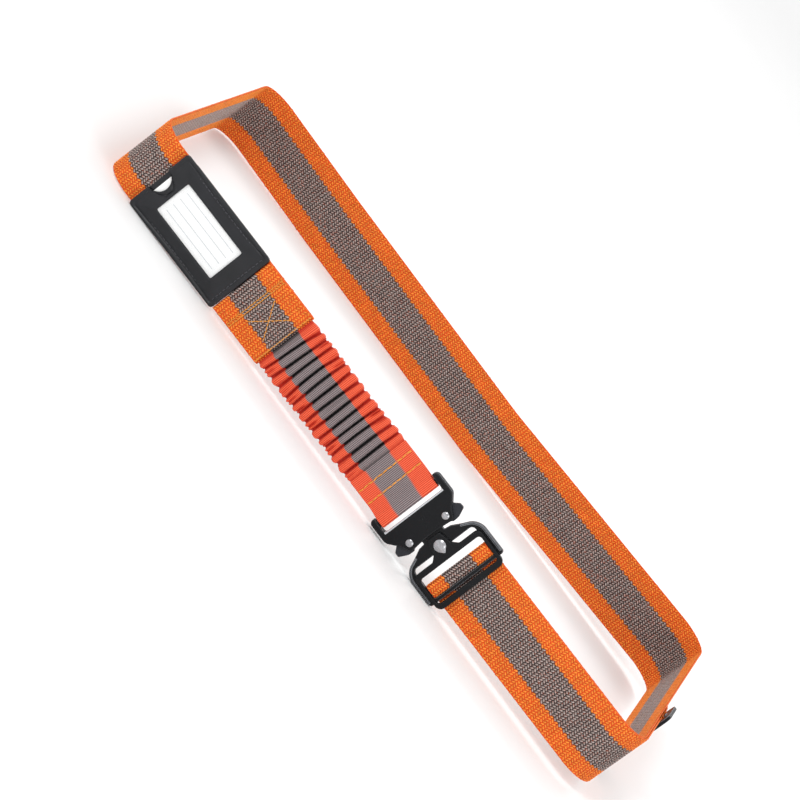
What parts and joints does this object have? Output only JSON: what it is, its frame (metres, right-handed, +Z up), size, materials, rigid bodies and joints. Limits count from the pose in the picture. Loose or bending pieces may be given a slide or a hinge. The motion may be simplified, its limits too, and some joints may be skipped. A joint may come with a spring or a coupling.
{
  "type": "luggage strap",
  "caption": "Buckled luggage strap: webbing loop with a quick-release metal buckle, gathered elastic section, name label holder and slide adjuster.",
  "frame": {"origin": "on the floor under the middle of the buckled loop, which stands on its edge", "axes": "+X along the front run from the label to the adjuster, +Y from the front run to the back run, +Z up"},
  "size_m": [0.5178, 0.3106, 0.0651],
  "materials": {
    "black_metal": "gloss black",
    "lever_black": "fine matte black",
    "rivet_steel": "satin steel",
    "spring_steel": "plain",
    "webbing": "coarse woven, orange with a taupe middle band",
    "elastic_cloth": "fine ribbed, red-orange with a grey middle band",
    "elastic_core": "knitted elastic",
    "label_leather": "fine grain, stitched edge",
    "clear_film": "clear vinyl",
    "card_white": "ruled card"
  },
  "bodies": {
    "buckle_socket": {"socket_top_plate": "black_metal", "socket_back_plate": "black_metal", "tongue_guide": "black_metal", "lever_rivets": "rivet_steel", "socket_web_bar": "black_metal", "sewn_end_loop": "elastic_cloth", "elastic_sleeve": "elastic_cloth", "elastic_band": "elastic_core", "lever_spring_upper": "spring_steel", "lever_spring_lower": "spring_steel"},
    "label_side": {"webbing_fold": "webbing", "label_back_panel": "label_leather", "label_front": "label_leather", "label_window_film": "clear_film", "webbing_front_left": "webbing", "webbing_turn_front_left": "webbing", "webbing_side_left": "webbing", "webbing_turn_back_left": "webbing", "webbing_back_left": "webbing"},
    "card": {"id_card": "card_white"},
    "buckle_tongue": {"tongue_plate": "black_metal", "top_frame": "black_metal", "dome_rivet": "rivet_steel", "cross_bar": "black_metal", "webbing_bar_turn": "webbing", "webbing_front_right": "webbing", "return_layer_front": "webbing", "webbing_turn_front_right": "webbing", "return_layer_turn": "webbing", "webbing_side_right": "webbing", "return_layer_side": "webbing", "webbing_turn_back_right": "webbing", "webbing_back_right": "webbing"},
    "adjuster": {"triglide_frame": "black_metal", "sewn_fold": "webbing", "threaded_webbing": "webbing"},
    "lever_upper": {"latch_lever_upper": "lever_black"},
    "lever_lower": {"latch_lever_lower": "lever_black"}
  },
  "joints": [
    {"name": "buckle_release", "type": "slide", "parent": "buckle_socket", "child": "buckle_tongue", "axis": [0.9999, 0, 0.0164], "range_m": [0, 0.02]},
    {"name": "lever_upper_press", "type": "hinge", "parent": "buckle_socket", "child": "lever_upper", "pos_m": [0.05735, -0.15005, 0.04635], "axis": [0, 1, 0], "range_deg": [0, 24], "stiffness_Nm_per_rad": 0.1, "deforming": ["lever_spring_upper"]},
    {"name": "lever_lower_press", "type": "hinge", "parent": "buckle_socket", "child": "lever_lower", "pos_m": [0.05785, -0.15005, 0.01566], "axis": [0, -1, 0], "range_deg": [0, 24], "stiffness_Nm_per_rad": 0.1, "deforming": ["lever_spring_lower"]},
    {"name": "elastic_stretch", "type": "slide", "parent": "buckle_socket", "child": "label_side", "axis": [-0.9999, 0, -0.0164], "range_m": [0, 0.06], "stiffness_N_per_m": 150, "deforming": ["elastic_sleeve", "elastic_band"]},
    {"name": "card_slide", "type": "slide", "parent": "label_side", "child": "card", "axis": [-0.9999, 0, -0.0164], "range_m": [0, 0.06]},
    {"name": "adjuster_slide", "type": "slide", "parent": "buckle_tongue", "child": "adjuster", "axis": [0, 1, 0], "range_m": [-0.01, 0.06]}
  ],
  "couplings": [
    {"joint": "lever_upper_press", "follows": "buckle_release", "rad_per_m": 20.94},
    {"joint": "lever_lower_press", "follows": "buckle_release", "rad_per_m": 20.94}
  ]
}
